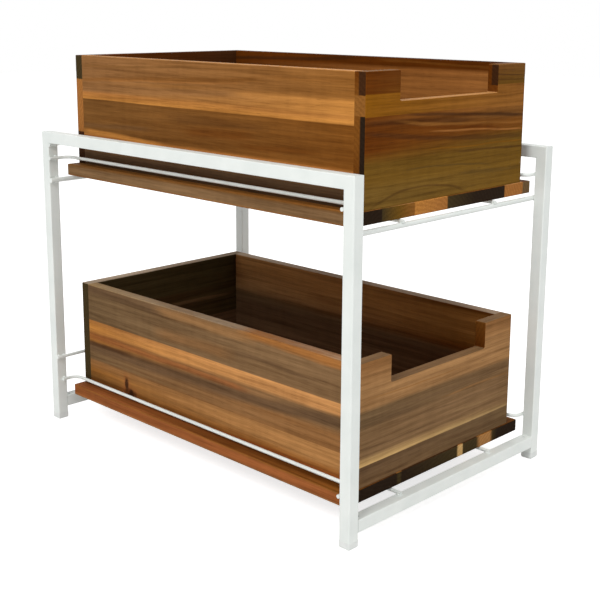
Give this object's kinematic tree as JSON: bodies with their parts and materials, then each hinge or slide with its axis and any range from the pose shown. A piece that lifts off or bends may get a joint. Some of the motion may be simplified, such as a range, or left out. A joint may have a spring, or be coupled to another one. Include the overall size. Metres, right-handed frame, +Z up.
{
  "type": "under sink organizer",
  "caption": "Free-standing two-tier organizer with a white square-tube frame and two wooden pull-out drawers with a finger notch in front.",
  "frame": {"origin": "on the floor, in the middle of the footprint", "axes": "+X to the right, seen from the front, +Y to the rear, +Z up; the drawers pull out towards -Y"},
  "size_m": [0.2924, 0.4504, 0.4047],
  "materials": {
    "white_coat": "satin white powder coat",
    "white_plastic": "matt white",
    "acacia_wood": "satin oil on jointed acacia staves",
    "screw_steel": "zinc plated"
  },
  "bodies": {
    "frame": {"bottom_rail_front": "white_coat", "bottom_rail_rear": "white_coat", "foot_front_left": "white_plastic", "foot_front_right": "white_plastic", "foot_rear_left": "white_plastic", "foot_rear_right": "white_plastic", "lower_guide_left": "white_coat", "lower_guide_right": "white_coat", "lower_runner_left": "white_coat", "lower_runner_right": "white_coat", "lower_stop_wire": "white_coat", "post_front_left": "white_coat", "post_front_right": "white_coat", "post_rear_left": "white_coat", "post_rear_right": "white_coat", "top_rail_left": "white_coat", "top_rail_right": "white_coat", "upper_guide_left": "white_coat", "upper_guide_right": "white_coat", "upper_rod_front": "white_coat", "upper_rod_rear": "white_coat", "upper_runner_left": "white_coat", "upper_runner_right": "white_coat", "upper_stop_wire": "white_coat"},
    "upper_drawer": {"upper_base_board": "acacia_wood", "upper_base_screws": "screw_steel", "upper_front_panel": "acacia_wood", "upper_left_panel": "acacia_wood", "upper_rear_panel": "acacia_wood", "upper_right_panel": "acacia_wood"},
    "lower_drawer": {"lower_base_board": "acacia_wood", "lower_base_screws": "screw_steel", "lower_front_panel": "acacia_wood", "lower_left_panel": "acacia_wood", "lower_rear_panel": "acacia_wood", "lower_right_panel": "acacia_wood"}
  },
  "joints": [
    {"name": "upper_drawer_slide", "type": "slide", "parent": "frame", "child": "upper_drawer", "axis": [0, -1, 0], "range_m": [-0.0082, 0.28]},
    {"name": "lower_drawer_slide", "type": "slide", "parent": "frame", "child": "lower_drawer", "axis": [0, -1, 0], "range_m": [-0.0054, 0.28]}
  ]
}
